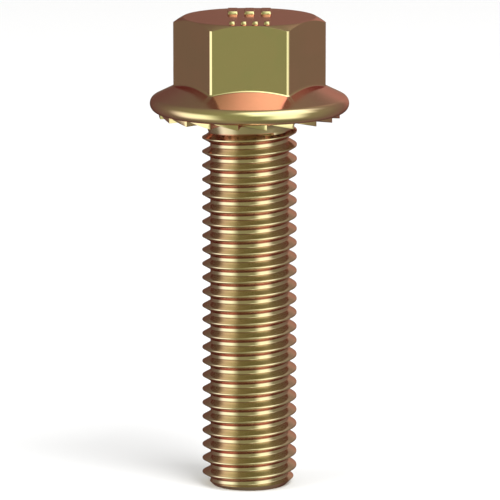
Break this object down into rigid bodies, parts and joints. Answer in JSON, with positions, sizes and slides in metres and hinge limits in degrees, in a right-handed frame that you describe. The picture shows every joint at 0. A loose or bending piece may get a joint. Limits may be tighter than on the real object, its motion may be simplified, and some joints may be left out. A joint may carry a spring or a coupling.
{
  "type": "serrated hex flange bolt",
  "caption": "Hex head bolt with an integral serrated flange, a coarse right-hand thread up to the head and a flat chamfered end.",
  "frame": {"origin": "centre of the flat end face of the threaded shank, on the bolt's axis", "axes": "+Z along the bolt's axis from the end face to the head, -Y and +Y out of two opposite flats of the hexagon, +X towards a corner of it"},
  "size_m": [0.021, 0.021, 0.0503],
  "materials": {
    "yellow_zinc": "steel with a yellow chromated zinc plating: glossy gold with faint pink, green and brown interference tints"
  },
  "bodies": {
    "root": {"flange_bolt": "yellow_zinc"}
  },
  "joints": []
}
